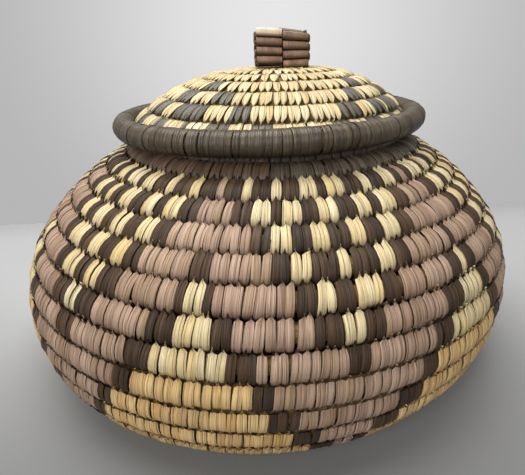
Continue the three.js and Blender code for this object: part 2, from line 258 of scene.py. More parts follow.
palmKnob = leafMaterial("palm_knob", knobLook | {
    "pale": (158, 124, 98), "deep": (106, 76, 60), "stain": 0.7, "stainColour": (118, 102, 68),
    "stainScale": 90.0, "lines": 0.2, "lineColour": (72, 52, 42), "shade": 1.0, "splitAndShadeColour": (26, 17, 13),
    "rough": 0.36, "shine": 0.5})
palmPale = leafMaterial("palm_pale", knobLook | {
    "pale": (244, 228, 206), "deep": (214, 188, 164), "lineColour": (140, 112, 94), "shade": 1.0,
    "splitAndShadeColour": (64, 44, 34)})
palmGrey = leafMaterial("palm_grey", knobLook | {
    "pale": (132, 128, 112), "deep": (98, 92, 78), "lineColour": (62, 56, 46), "splitAndShadeColour": (30, 26, 20)})
leaves = [palmNatural, palmGolden, palmMauve, palmDark, palmBrown, palmAsh, palmSmoke]
natural, golden, mauve, dark, brown, ash, smoke = range(len(leaves))

grassLook = {
    "deep": (92, 70, 42), "pale": (186, 152, 96), "detail": 3.0, "bump": 0.7, "rough": 0.8,
    "high": 0.0006,  # metres
}


def grassMaterial(look):
    # long dry stalks, seen only in the gaps: streaks along the bundle from its own attribute
    material = bpy.data.materials.new("grass_bundle")
    material.use_nodes = True
    tree = material.node_tree
    shader = tree.nodes["Principled BSDF"]
    leaf = addNode(tree, "Attribute", attribute_name="leaf").outputs["Vector"]
    stalks = noise(tree, leaf, 1.0, look["detail"])
    colour = blendColour(tree, stalks, linear(look["deep"]), linear(look["pale"]))
    tree.links.new(colour, shader.inputs["Base Color"])
    bump = addNode(tree, "Bump", {"Height": stalks, "Strength": look["bump"], "Distance": look["high"]})
    tree.links.new(bump.outputs[0], shader.inputs["Normal"])
    shader.inputs["Roughness"].default_value = look["rough"]
    return material


grassBundle = grassMaterial(grassLook)
print("materials made")


# Meshes

def gridFaces(rows, columns, closedRows=False, closedColumns=False):
    # quads between neighbouring rows and columns of points
    r = np.arange(rows if closedRows else rows - 1)[:, None]
    c = np.arange(columns if closedColumns else columns - 1)[None, :]
    nextR, nextC = (r + 1) % rows, (c + 1) % columns
    corners = [r * columns + c, r * columns + nextC, nextR * columns + nextC, nextR * columns + c]
    return np.stack(np.broadcast_arrays(*corners), -1).reshape(-1, 4)


def fanFaces(ring, middle):
    # triangles from a ring of points to one point in its middle
    return np.stack([ring, np.roll(ring, -1), np.full(len(ring), middle)], -1)


def closeEnds(points, leaf, sides):
    # a tube of rings gets a point in the middle of each end, and a fan of triangles to it
    points, leaf = points.reshape(-1, 3), leaf.reshape(-1, 3)
    count, ring = len(points), np.arange(sides)
    fans = np.concatenate([fanFaces(ring[::-1], count), fanFaces(count - sides + ring, count + 1)])
    ends = [points[:sides].mean(0), points[-sides:].mean(0)]
    return np.concatenate([points, ends]), np.concatenate([leaf, leaf[[0, -1]]]), fans


def makePiece(name, points, faces, materials, leaf, tone, kinds=None, fans=None, shade=None):
    # points in millimetres; faces is an array of quads, and fans one of triangles, turned to face outwards
    points = np.asarray(points, float).reshape(-1, 3)
    sets = [f for f in (faces, fans) if f is not None]
    triangles = np.concatenate([s[:, [0, j, j + 1]] for s in sets for j in range(1, s.shape[1] - 1)])
    a, b, c = (points[triangles[:, i]] for i in range(3))
    if np.einsum("ij,ij->", a, np.cross(b, c)) < 0:
        sets = [s[:, ::-1] for s in sets]
    sizes = np.concatenate([np.full(len(s), s.shape[1]) for s in sets])
    corners = np.concatenate([s.ravel() for s in sets])
    mesh = bpy.data.meshes.new(name)
    mesh.vertices.add(len(points))
    mesh.vertices.foreach_set("co", (points / 1000).ravel())
    mesh.loops.add(len(corners))
    mesh.loops.foreach_set("vertex_index", corners.astype(np.int32))
    mesh.polygons.add(len(sizes))
    mesh.polygons.foreach_set("loop_start", (np.cumsum(sizes) - sizes).astype(np.int32))
    mesh.polygons.foreach_set("use_smooth", np.ones(len(sizes), bool))
    if kinds is not None:
        mesh.polygons.foreach_set("material_index", np.asarray(kinds, np.int32))
    mesh.update(calc_edges=True)
    shade = np.zeros(len(points)) if shade is None else shade
    mesh.attributes.new("leaf", "FLOAT_VECTOR", "POINT").data.foreach_set("vector", np.float32(leaf).ravel())
    mesh.attributes.new("tone", "FLOAT", "POINT").data.foreach_set("value", np.float32(tone).ravel())
    mesh.attributes.new("shade", "FLOAT", "POINT").data.foreach_set("value", np.float32(shade).ravel())
    for material in materials:
        mesh.materials.append(material)
    piece = bpy.data.objects.new(name, mesh)
    bpy.context.collection.objects.link(piece)
    return piece


def place(piece, body, slot, *nodes):
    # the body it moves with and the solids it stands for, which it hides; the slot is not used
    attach(piece, body)
    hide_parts(*nodes)


# The coils' shapes

def profileAt(shape, arc):
    # level and flat out to its edge, and then round one bend after another
    arc = np.asarray(arc, float)
    radius = np.minimum(arc, shape["flat"])
    height = np.full_like(arc, shape["height"])
    angle = np.zeros_like(arc)
    left = arc - radius
    for i, (bend, turn) in enumerate(shape["bends"]):
        last = i == len(shape["bends"]) - 1
        length = left if last else np.minimum(left, abs(bend) * turn)
        ahead = angle + shape["side"] * length / bend
        radius = radius + shape["side"] * bend * (np.sin(ahead) - np.sin(angle))
        height = height + shape["side"] * bend * (np.cos(angle) - np.cos(ahead))
        angle, left = ahead, left - length
    return radius, height, angle


def profileLength(shape):
    # the flat, and each bend's radius times its turn
    return shape["flat"] + sum(abs(bend) * turn for bend, turn in shape["bends"])


lean = {"all": 0.058, "dome": 0.13}  # sideways for each millimetre of height
fit = 0.32  # between pieces that touch
nearMiddle = {"turning": 4.0, "reach": 0.4}  # the least radius that a strip turns round, and that it keeps

body = {
    "side": 1,  # turning up from the flat, and -1 turns down
    "flat": 102.8, "height": 4.9,
    "bends": [(27.8, math.radians(67.4)), (58.8, math.radians(62.1)), (120.8, math.radians(25.8)),
              (-20.0, math.radians(54.0))],
    "pitch": 11.5, "depth": 9.8, "rounds": 23,
    "way": -1,  # the way round that it was coiled, seen from above
    "end": 0.6,  # how thin the last round gets
    "slip": 0.9,  # the rows sit a little lower than the solids' rounds
}
body["start"] = profileLength(body) - body["rounds"] * body["pitch"] - body["slip"]

# the rim's height comes from its solid, because the lid was lowered onto the mouth there
rimLow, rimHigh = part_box("lid_rim_wrap")
rim = {"radius": 5.8, "overhang": 14.4, "height": 1000 * (rimLow.z + rimHigh.z) / 2}
rim["middle"] = float(profileAt(body, profileLength(body))[0]) + rim["overhang"]

lid = {
    "side": -1, "depth": 8.6, "rounds": 7, "way": 1, "end": 0.5, "slip": -1.0,
}
dome = {
    "bend": 80.5, "turn": math.radians(42.3), "foot": rim["height"],
    "gap": 0.6,  # between two rounds
    "start": 0.888,  # where the coil starts, in rounds from the middle
}
domeSpan = rim["middle"] - rim["radius"] - fit + lid["end"] * dome["gap"] / 2
domeSpan -= dome["bend"] * math.sin(dome["turn"])
lid["pitch"] = domeSpan + dome["bend"] * dome["turn"]
lid["pitch"] /= lid["rounds"] + dome["start"] - 0.5 + lid["end"]
lid["flat"] = domeSpan - lid["end"] * lid["pitch"] / 2
lid["height"] = dome["foot"] + dome["bend"] * (1 - math.cos(dome["turn"]))
lid["bends"] = [(dome["bend"], dome["turn"])]
lid["start"] = dome["start"] * lid["pitch"] - lid["slip"]


def coilFrame(coil, turns):
    # where the middle of the coil is after so many turns; the last round thins towards its end
    scale = 1 - (1 - coil["end"]) * np.maximum(0, turns - (coil["rounds"] - 1))
    arc = coil["start"] + (turns - (1 - scale) / 2) * coil["pitch"]
    radius, height, angle = profileAt(coil, arc)
    return radius, height, angle, coil["way"] * (2 * np.pi * turns - np.pi), scale


def leaning(x, y, z, onDome=False):
    # the whole basket leans to the right, and the dome and knob lean further
    z = np.maximum(z, 0)
    x = x + lean["all"] * z
    if onDome:
        x = x + lean["dome"] * (z - dome["foot"])
    return np.stack(np.broadcast_arrays(x, y, z), -1)


def aroundCoil(coil, turns, along, out, side):
    # offsets along the profile, out of the wall and sideways become a point on the leaning basket
    radius, height, angle, azimuth, scale = coilFrame(coil, turns)
    along, out = along * scale, out * scale
    reach = radius + along * np.cos(angle) + out * coil["side"] * np.sin(angle)
    z = height + along * np.sin(angle) - out * coil["side"] * np.cos(angle)
    azimuth = azimuth + side / np.maximum(radius, nearMiddle["turning"])
    reach = np.maximum(reach, nearMiddle["reach"])
    return leaning(reach * np.sin(azimuth), -reach * np.cos(azimuth), z, coil is lid)


# Stitches

stitch = {
    # one loop, from its tip between two of the next round, over the outside and back up the inside
    "along": (1.30, 1.12, 0.94, 0.45, -0.08, -0.58, -0.92, -1.12, -0.90, 0.0, 0.96),
    "out": (0.94, 0.86, 0.80, 1.03, 1.10, 0.98, 0.74, 0.34, -0.70, -1.0, -0.70),
    "width": (0.05, 0.38, 0.97, 1.0, 1.0, 1.0, 0.96, 0.70, 0.8, 1.0, 0.6),
    # painted shade along the loop: none on its face, deepening round the stitch's lower end and inside it,
    # and a little at the tip
    "shade": (0.1, 0.0, 0.0, 0.0, 0.0, 0.12, 0.5, 1.0, 1.0, 0.4, 1.0),
    "across": (-1.0, -0.90, -0.42, 0.0, 0.42, 0.90, 1.0, 0.0),  # its section, the last point the underside
    "lift": (-0.24, 0.02, 0.05, 0.06, 0.05, 0.02, -0.24, -0.9),  # millimetres
    "crease": (0.0, 0.06, 0.14, 0.14, 0.14, 0.06, 0.0, 0.0),  # how far folds move the section
    "spike": (-0.3, -0.2, 0.2, 0.3, 0.2, -0.2, -0.3, 0.0),  # how the tip is notched
    "spikePast": 1.1, "tipPast": 1.0, "footPast": -0.9, "narrowPast": 0.9,  # on the way along
    "slant": 0.03,
    "spacing": 3.7, "fewest": 5,
    "fill": 0.985,  # of the spacing
    "drawn": 0.7, "gather": 0.8, "jitter": 0.08,  # how its place follows the gap between two before it
    "inset": 0.0005,  # of a turn, kept free at each end of a round
}
unlike = {
    # how much one stitch differs from the next
    "lift": 0.02, "drop": 0.15, "swell": 0.014, "slant": 0.03, "tip": 0.3, "spike": 1.2, "foot": 0.035,
    "narrow": 0.08, "tone": 1.0, "toneLimit": 2,
}
body["stitch"] = stitch
lid["stitch"] = stitch | {
    # finer strips whose ends taper like feathers
    "along": (1.26, 1.10, 0.82, 0.40, -0.12, -0.62, -0.93, -1.12, -0.90, 0.0, 0.96),
    "out": (0.85, 0.92, 1.02, 1.09, 1.08, 0.94, 0.72, 0.25, -0.70, -1.0, -0.70),
    "width": (0.18, 0.50, 0.80, 0.97, 1.0, 1.0, 0.96, 0.70, 0.8, 1.0, 0.6),
    "spacing": 3.0,
}


def stitchTurns(coil, round_, before):
    # shares of one turn: each stitch is drawn towards the gap between two of the round before
    stitch = coil["stitch"]
    middle = coil["start"] + (round_ + 0.5) * coil["pitch"]
    around = 2 * np.pi * float(profileAt(coil, middle)[0])
    count = max(int(round(around / stitch["spacing"])), stitch["fewest"])
    even = np.arange(count) / count
    if before is None:
        return even
    slot = even * len(before)
    slot = slot + stitch["gather"] * np.sin(2 * np.pi * slot) / (2 * np.pi)
    known = np.concatenate([before, [before[0] + 1]])
    drawn = np.interp(slot, np.arange(len(known)), known)
    jitter = random.normal(0, stitch["jitter"] / count, count)
    return stitch["drawn"] * drawn + (1 - stitch["drawn"]) * (even + drawn[0]) + jitter


def stitchSpread(shares):
    # half the distance between each stitch's two neighbours, in turns
    after = np.concatenate([shares[1:], [shares[0] + 1]])
    before = np.concatenate([[shares[-1] - 1], shares[:-1]])
    return (after - before) / 2


def stitchBand(coil, turns, halfWidth):
    # a closed strip carried round its loop; every stitch has a little of its own width, slant and lift
    count, stitch = len(turns), coil["stitch"]
    along, out = np.array(stitch["along"]), np.array(stitch["out"])
    width, across = np.array(stitch["width"]), np.array(stitch["across"])
    lift = stitch["lift"] + random.normal(0, 1, (count, 1, 1)) * unlike["lift"]
    lift = lift + random.normal(0, 1, (count, 1, len(across))) * stitch["crease"]
    path = np.stack([along * coil["pitch"] / 2, out * coil["depth"] / 2], -1)
    tangent = np.roll(path, -1, 0) - np.roll(path, 1, 0)
    tangent /= np.linalg.norm(tangent, axis=1, keepdims=True)
    normal = np.stack([tangent[:, 1], -tangent[:, 0]], -1)
    normal *= np.sign((normal * path).sum(1).mean())

    def vary(name):
        return random.normal(0, unlike[name], count)[:, None, None]

    drop, swell, slant, tip = vary("drop"), vary("swell"), vary("slant"), vary("tip")
    spike = (1 + vary("spike")) * np.array(stitch["spike"]) * (along > stitch["spikePast"])[None, :, None]
    end = 1 + vary("foot") * (along < stitch["footPast"])[None, :, None]
    narrow = 1 + vary("narrow") * (np.abs(along) > stitch["narrowPast"])[None, :, None]
    a = (path[None, :, 0, None] + normal[None, :, 0, None] * lift) * end + drop + spike
    o = path[None, :, 1, None] * (1 + swell) + normal[None, :, 1, None] * lift
    s = halfWidth[:, None, None] * width[None, :, None] * across * narrow
    s = s + (slant + stitch["slant"]) * path[None, :, 0, None]
    s = s + tip * (along > stitch["tipPast"])[None, :, None]
    shape = (count, len(along), len(across))
    turns = np.broadcast_to(turns[:, None, None], shape)
    a, o, s = (np.broadcast_to(v, shape) for v in (a, o, s))
    return aroundCoil(coil, turns, a, o, s)


def bandFaces(count, steps, sides):
    # the same closed grid for each strip, its numbers moved on by one strip's points
    one = gridFaces(steps, sides, True, True)
    return (one[None] + np.arange(count)[:, None, None] * steps * sides).reshape(-1, 4)


def leafValues(count, steps, across):
    # across the strip in half widths, down it from 0 to 1, and a seed of its own for each strip
    down = np.arange(steps) / steps
    seed = random.random(count)
    shape = (count, steps, len(across))
    wide = np.broadcast_to(np.array(across)[None, None, :], shape)
    along = np.broadcast_to(down[None, :, None], shape)
    own = np.broadcast_to(seed[:, None, None], shape)
    return np.stack([wide, along, own], -1)


def stripTones(count, spread):
    # one draw for each strip, with the rarest ones held back
    return random.normal(0, spread, count).clip(-unlike["toneLimit"], unlike["toneLimit"])


def stitchPiece(name, coil, turns, halfWidth, kinds, tones):
    # all the stitches of one round, each with its own leaf and tone
    stitch = coil["stitch"]
    steps, sides = len(stitch["along"]), len(stitch["across"])
    points = stitchBand(coil, turns, halfWidth)
    faces = bandFaces(len(turns), steps, sides)
    leaf = leafValues(len(turns), steps, stitch["across"])
    tone = np.repeat(tones, steps * sides)
    # each stitch's painted shade, step by step along its loop
    shade = np.tile(np.repeat(stitch["shade"], sides), len(turns))
    return makePiece(name, points, faces, leaves, leaf, tone, np.repeat(kinds, steps * sides), shade=shade)


# The pattern that the dyed stitches make

motif = {
    # in degrees, round the middles of the motifs and of the spaces between them
    "repeats": 7, "first": 12.0, "uneven": 2.2, "span": 53.5,
    "block": 4.0, "stripedRows": 7,  # a striped triangle stands on its point, one block at the last row
    "stepRow": 4, "step": 3.5, "stepTop": 1.6, "stepEdge": 0.3,  # a stepped triangle, from its top row
    "border": 4.0, "narrowest": 1.9,  # its dark border, and its pale middle
    "goldenRow": 8, "plainRow": 12,
}
lidMotif = {
    # stepped cream triangles, in degrees round the lid and in millimetres to both sides of their middles
    "first": 12.0, "turn": 2.0, "apart": 90.0, "half": 12.0, "step": 6.3, "band": 10.0, "rows": 4,
}


def bodyKind(row, azimuth):
    # rows count down from the shoulder: striped triangles, and stepped ones between them
    q = azimuth - motif["first"] - motif["uneven"] * np.sin(np.radians(azimuth))
    q = motif["repeats"] * q / 360
    striped = (q - np.round(q)) * motif["span"]
    plain = (q - 0.5 - np.round(q - 0.5)) * motif["span"]
    kind = np.full(azimuth.shape, mauve)
    blocks = 2 * (motif["stripedRows"] - row) + 1
    halfStripes = blocks * motif["block"] / 2
    inStripes = (blocks > 0) & (np.abs(striped) < halfStripes)
    index = np.floor((striped + halfStripes) / motif["block"]).astype(int)
    kind[inStripes & (index % 2 == 0)] = dark
    kind[inStripes & (index % 2 == 1)] = natural
    steps = row - motif["stepRow"]
    half = motif["step"] * steps + motif["stepTop" if steps == 0 else "stepEdge"]
    middle = max(half - motif["border"], motif["narrowest"])
    if steps >= 0:
        kind[np.abs(plain) < half] = dark
    if steps >= 1:
        kind[np.abs(plain) < middle] = natural if row < motif["goldenRow"] else golden
    if row >= motif["plainRow"]:
        kind[:] = golden
    if row <= 0:
        kind = np.where(azimuth < 0, brown, ash)
    return kind


def lidKind(row, azimuth, radius):
    # rows count up from the rim: stepped cream triangles between smoky and cream bands
    apart = lidMotif["apart"]
    middle = lidMotif["first"] - lidMotif["turn"] * row
    away = (azimuth - middle + apart / 2) % apart - apart / 2
    beyond = np.abs(np.radians(away)) * radius - (lidMotif["half"] + lidMotif["step"] * (row - 1))
    band = np.floor(beyond / lidMotif["band"])
    kind = np.where((beyond > 0) & (band % 2 == 0), smoke, natural)
    if row > lidMotif["rows"]:
        kind[:] = natural
    return kind


# Body and lid

bodyNames = [f"base_round_{i:02d}" for i in range(1, 9)]
baseRounds = len(bodyNames)
bodyNames += [f"wall_round_{i:02d}" for i in range(1, 14)]
bodyNames += ["neck_round", "mouth_round"]
neckRound, mouthRound = len(bodyNames) - 2, len(bodyNames) - 1
lidNames = [f"lid_round_{i:02d}" for i in range(1, 8)]


def bodyKinds(round_, azimuth, radius):
    # the base is plain, and a turn of brown leaf ends the coil at the mouth; its darker brown is partly
    # painted shade, standing in for the deep shade under the lid's rim
    if round_ < baseRounds:
        return np.full(azimuth.shape, golden)
    # brown here is partly painted shade under the rim
    if round_ == mouthRound:
        return np.full(azimuth.shape, brown)
    return bodyKind(neckRound - round_, azimuth)


def lidKinds(round_, azimuth, radius):
    return lidKind(len(lidNames) - round_, azimuth, radius)


def wrapCoil(coil, names, kindOf, bodyName):
    # one piece of stitches for each round, as wide as the places of its neighbours allow
    before = None
    for round_, name in enumerate(names):
        shares = stitchTurns(coil, round_, before)
        before = shares
        inset = coil["stitch"]["inset"]
        turns = round_ + np.clip(shares, inset, 1 - inset)
        radius = coilFrame(coil, turns)[0]
        halfWidth = stitchSpread(shares) * np.pi * radius * coil["stitch"]["fill"]
        azimuth = np.degrees(coil["way"] * (2 * np.pi * turns - np.pi))
        azimuth = (azimuth + 180) % 360 - 180
        kinds = kindOf(round_, azimuth, radius)
        tones = stripTones(len(turns), unlike["tone"])
        piece = stitchPiece(name + "_stitches", coil, turns, halfWidth, kinds, tones)
        place(piece, bodyName, slotOf[name], name)
    print(bodyName, "wrapped,", len(names), "rounds")


grass = {
    "steps": 40, "sides": 8,  # in one turn of the coil, and round the bundle
    "thick": 0.70, "uneven": 0.03, "swells": 61, "flatter": 1.1,  # shares of the coil's pitch and depth
    "stalksAlong": 9, "stalksRound": 4,
}


def foundation(name, coil, bodyName, node):
    # the grass coil inside the stitches: a ring of points for each step along the spiral
    sides = grass["sides"]
    turns = np.linspace(0, coil["rounds"], coil["rounds"] * grass["steps"] + 1)
    angle = 2 * np.pi * np.arange(sides) / sides
    thick = grass["thick"] + grass["uneven"] * np.sin(turns * grass["swells"])[:, None]
    a = thick * coil["pitch"] / 2 * np.cos(angle)
    o = thick * coil["depth"] / 2 * np.sin(angle) * grass["flatter"]
    grid = np.broadcast_to(turns[:, None], a.shape)
    points = aroundCoil(coil, grid, a, o, np.zeros_like(a))
    round_ = np.broadcast_to(angle * grass["stalksRound"], a.shape)
    leaf = np.stack([grid * grass["stalksAlong"], round_, np.zeros_like(a)], -1)
    points, leaf, fans = closeEnds(points, leaf, sides)
    faces = gridFaces(len(turns), sides, False, True)
    piece = makePiece(name, points, faces, [grassBundle], leaf, np.zeros(len(points)), fans=fans)
    place(piece, bodyName, slotOf[node], node)


wrapCoil(body, bodyNames, bodyKinds, "basket")
foundation("grass_coil", body, "basket", "body_bundle")
wrapCoil(lid, lidNames, lidKinds, "lid")
foundation("lid_grass_coil", lid, "lid", "lid_bundle")

knot = {"first": -0.62, "last": -0.03, "count": 8, "halfWidth": 1.9}  # first and last in turns of the coil


def startKnot(name, coil, bodyName, node, kind):
    # the coil's first bent end: the same stitches closing in on the middle
    turns = np.linspace(knot["first"], knot["last"], knot["count"])
    halfWidth, kinds = np.full(len(turns), knot["halfWidth"]), np.full(len(turns), kind)
    piece = stitchPiece(name, coil, turns, halfWidth, kinds, random.normal(0, unlike["tone"], len(turns)))
    place(piece, bodyName, slotOf[node], node)


startKnot("base_start_stitches", body, "basket", "base_start_knot", golden)
startKnot("lid_start_stitches", lid, "lid", "lid_start_knot", natural)


# Rim of the lid

rimWrap = {
    "spacing": 3.1, "steps": 18, "slant": 0.5,
    "across": (-1.0, -0.93, -0.5, 0.5, 0.93, 1.0, 0.0),
    "lift": (-0.16, -0.02, 0.04, 0.04, -0.02, -0.16, -0.8),
    "fill": 1.04, "gapFill": 0.90, "gaps": 0.35,  # some strips leave a gap beside them
    "unequal": 0.16, "proud": 0.07, "tilt": 0.25, "tone": 0.8,
    "waves": ((0.10, 3, 1), (0.12, 7, 0)),  # how high, how many round the rim and where they start
    "shadeFrom": 0.1,  # up the side, of the radius
}
rimGrass = {"radius": 4.2, "steps": 96, "sides": 8, "stalksAlong": 40, "stalksRound": 4}


def rimPiece():
    # strips side by side round the roll: a circle round the rim's middle line, uneven by a little
    count = int(round(2 * np.pi * rim["middle"] / rimWrap["spacing"]))
    size = 1 + random.normal(0, rimWrap["unequal"], count)
    edges = np.concatenate([[0], np.cumsum(size)]) / size.sum()
    azimuth = 2 * np.pi * (edges[1:] + edges[:-1]) / 2 - np.pi
    fill = np.where(random.random(count) < rimWrap["gaps"], rimWrap["gapFill"], rimWrap["fill"])
    half = np.diff(edges) * np.pi * rim["middle"] * fill
    turn = 2 * np.pi * np.arange(rimWrap["steps"]) / rimWrap["steps"]
    across, lift = np.array(rimWrap["across"]), np.array(rimWrap["lift"])
    proud = random.normal(0, rimWrap["proud"], count)[:, None, None]
    tilt = random.normal(0, rimWrap["tilt"], count)[:, None, None]
    wave = sum(high * np.sin(azimuth * times + start) for high, times, start in rimWrap["waves"])
    r = rim["radius"] + proud + wave[:, None, None] + lift
    r = np.broadcast_to(r, (count, len(turn), len(across)))
    side = half[:, None, None] * across + (tilt + rimWrap["slant"]) * np.cos(turn)[None, :, None]
    reach = rim["middle"] + r * np.cos(turn)[None, :, None]
    z = rim["height"] + r * np.sin(turn)[None, :, None]
    az = azimuth[:, None, None] + side / rim["middle"]
    points = leaning(reach * np.sin(az), -reach * np.cos(az), z)
    steps, sides = len(turn), len(across)
    leaf = leafValues(count, steps, across)
    tone = np.repeat(stripTones(count, rimWrap["tone"]), steps * sides)
    # painted shade on the roll's underside, from a little above its middle line and deepest at the bottom
    under = np.clip(rimWrap["shadeFrom"] - np.sin(turn), 0, 1)
    shade = np.tile(np.repeat(under, sides), count)
    piece = makePiece("rim_wrap", points, bandFaces(count, steps, sides), [palmRim], leaf, tone, shade=shade)
    place(piece, "lid", slotOf["lid_rim_wrap"], "lid_rim_wrap")


def rimCore():
    # the roll of grass inside the rim: a closed ring
    steps, sides, r = rimGrass["steps"], rimGrass["sides"], rimGrass["radius"]
    azimuth = 2 * np.pi * np.arange(steps)[:, None] / steps
    turn = 2 * np.pi * np.arange(sides)[None, :] / sides
    reach = rim["middle"] + r * np.cos(turn)
    points = leaning(reach * np.sin(azimuth), -reach * np.cos(azimuth), rim["height"] + r * np.sin(turn))
    stalks = azimuth * rimGrass["stalksAlong"], turn * rimGrass["stalksRound"], 0 * turn
    leaf = np.stack(np.broadcast_arrays(*stalks), -1)
    faces = gridFaces(steps, sides, True, True)
    piece = makePiece("rim_grass", points, faces, [grassBundle], leaf, np.zeros(steps * sides))
    place(piece, "lid", slotOf["lid_rim_bundle"], "lid_rim_bundle")


rimPiece()
rimCore()
print("rim wrapped")


# Knob

knob = {
    "width": 13.6, "level": 1.09, "thick": 0.75, "folds": 8, "loopPoints": 11, "loopShade": 1.4,
    "bow": 1.55,  # a fold's bow in the solids, which sets the knob's foot
    "high": 1.78,  # a fold's own bow here, up and down
    "frontLoop": (0.32, 0.75), "sideLoop": (-0.18, 0.43),  # where a loop starts past the face, and its bow
    "across": (-1.0, -0.96, -0.5, 0.0, 0.5, 0.96, 1.0, 0.96, 0.5, 0.0, -0.5, -0.96),
    "face": (0.0, 0.75, 1.0, 1.0, 1.0, 0.75, 0.0, -0.75, -1.0, -1.0, -1.0, -0.75),
    "tiltRise": 8.0,  # the height over which the tilt sets in
    "fibreWide": 0.9, "fibrePoints": 14.0, "seedStep": 0.3,
}
knob["foot"] = lid["height"] + lid["depth"] / 2 + fit + knob["bow"] + knob["thick"] / 2 - knob["level"]
knob["top"] = knob["foot"] + 2 * knob["folds"] * knob["level"]
knobStrips = {
    # left and right run from front to back; the tilt is the slope across a strip at the foot and at the top
    "left": {"folds": knob["folds"], "firstFace": 1, "side": 1, "quarter": True, "level": 0,
             "loop": knob["frontLoop"], "tilt": (0.06, 0.08), "topLeaf": palmPale},
    "right": {"folds": knob["folds"], "firstFace": -1, "side": -1, "quarter": True, "level": 0,
              "loop": knob["frontLoop"], "tilt": (-0.08, 0.15), "topLeaf": palmGrey},
    "front": {"folds": knob["folds"] - 1, "firstFace": -1, "side": -1, "quarter": False, "level": 1,
              "loop": knob["sideLoop"], "tilt": (0.0, 0.02), "topLeaf": palmKnob},
    "back": {"folds": knob["folds"] - 1, "firstFace": 1, "side": 1, "quarter": False, "level": 1,
             "loop": knob["sideLoop"], "tilt": (0.0, -0.02), "topLeaf": palmKnob},
}


def foldedPath(folds, firstFace, stand, proud):
    # level runs from face to face, joined by round loops that stand out past the faces, with painted shade on
    # their lower halves
    loopTurn = np.pi - np.arcsin(knob["level"] / knob["high"])
    loopMiddle = knob["width"] + stand + proud * np.cos(np.pi - loopTurn)
    angle = np.linspace(-loopTurn, loopTurn, knob["loopPoints"])
    fold = np.arange(folds)
    face = np.where(fold % 2 == 0, firstFace, -firstFace)[:, None]
    x = face * (loopMiddle + proud * np.cos(angle))
    z = (2 * fold[:, None] + 1) * knob["level"] + knob["high"] * np.sin(angle)
    last = firstFace if folds % 2 == 0 else -firstFace
    ends = [[-firstFace * knob["width"], 0.0], [-last * knob["width"], 2 * folds * knob["level"]]]
    below = np.tile(np.clip(-knob["loopShade"] * np.sin(angle), 0, 1), folds)
    path = np.concatenate([ends[:1], np.stack([x, z], -1).reshape(-1, 2), ends[1:]])
    return path, np.concatenate([[0], below, [0]])


def knobStrip(name, node, strip):
    # a flat strip carried along its folded path; the tilt drops one edge, and the last run has its own leaf
    path, below = foldedPath(strip["folds"], strip["firstFace"], *strip["loop"])
    tangent = np.gradient(path, axis=0)
    tangent /= np.linalg.norm(tangent, axis=1, keepdims=True)
    normal = np.stack([-tangent[:, 1], tangent[:, 0]], -1)
    across, face = np.array(knob["across"]), np.array(knob["face"])
    half = (knob["width"] - fit) / 2
    middle = strip["side"] * knob["width"] / 2
    flat = path[:, None, :] + normal[:, None, :] * face[None, :, None] * knob["thick"] / 2
    x, z = flat[..., 0], flat[..., 1]
    y = np.broadcast_to(middle + half * across, x.shape)
    low, high = strip["tilt"]
    slope = low + (high - low) * np.clip(z / (knob["top"] - knob["foot"]), 0, 1)
    z = z + slope * (y - middle) * np.clip(z / knob["tiltRise"], 0, 1)
    if strip["quarter"]:
        x, y = -y, x
    z = z + knob["foot"] + strip["level"] * knob["level"]
    x = x + (lean["all"] + lean["dome"]) * (knob["top"] - z)
    down = (np.arange(len(path)) / knob["fibrePoints"])[:, None]
    seed = strip["level"] + strip["side"] * knob["seedStep"] + strip["quarter"]
    leaf = np.stack(np.broadcast_arrays(across * knob["fibreWide"], down, float(seed)), -1)
    sides = len(across)
    points, leaf, fans = closeEnds(leaning(x, y, z, True), leaf, sides)
    kinds = np.repeat(np.arange(len(path) - 1) > len(path) - knob["loopPoints"], sides)
    kinds = np.concatenate([kinds, np.zeros(sides), np.ones(sides)])
    # painted shade on the lower half of each loop
    shade = np.concatenate([np.repeat(below, sides), [0, 0]])
    faces = gridFaces(len(path), sides, False, True)
    leafOf = [palmKnob, strip["topLeaf"]]
    piece = makePiece(name, points, faces, leafOf, leaf, np.zeros(len(points)), kinds, fans, shade)
    place(piece, "lid", slotOf[node], node)


tails = {
    "radius": 1.15, "steps": 12, "sides": 24,
    "knotTop": 1.2, "knotSwell": 3.6, "knotHigh": 7.0, "knotSteps": 15, "roundness": 0.75,
    "above": 0.4, "below": 0.2,  # where the tails end and the knot starts, from the lid's underside
    "lobes": 4, "lobeSize": 0.13, "twist": 0.8,
    "fibreWide": 3.0, "fibreLong": 10.0, "seed": 0.4,
}


def tailKnot(name, node):
    # the four twisted tails under the lid, swelling into a knot: a lobed circle turning as it goes down
    top = knob["foot"] - knob["thick"] / 2 - fit
    seat = lid["height"] - lid["depth"] / 2 - fit
    z = np.linspace(top, seat + tails["above"], tails["steps"])
    z = np.concatenate([z, seat - tails["below"] - np.linspace(0, tails["knotHigh"], tails["knotSteps"])])
    depth = np.clip((seat - z) / tails["knotHigh"], 0, 1)
    swell = np.sqrt(np.clip(np.sin(np.pi * depth ** tails["roundness"]), 0, 1))
    radius = np.where(z > seat, tails["radius"], tails["knotTop"] + tails["knotSwell"] * swell)
    turn = 2 * np.pi * np.arange(tails["sides"]) / tails["sides"]
    lobes = 1 + tails["lobeSize"] * np.cos(tails["lobes"] * turn[None, :] + tails["twist"] * z[:, None])
    r = radius[:, None] * lobes
    points = leaning(r * np.sin(turn), -r * np.cos(turn), z[:, None], True)
    fibres = turn[None, :] / tails["fibreWide"] - 1, z[:, None] / tails["fibreLong"], tails["seed"]
    leaf = np.stack(np.broadcast_arrays(*fibres), -1)
    points, leaf, fans = closeEnds(points, leaf, len(turn))
    faces = gridFaces(len(z), len(turn), False, True)
    piece = makePiece(name, points, faces, [palmKnob], leaf, np.zeros(len(points)), fans=fans)
    place(piece, "lid", slotOf[node], node)


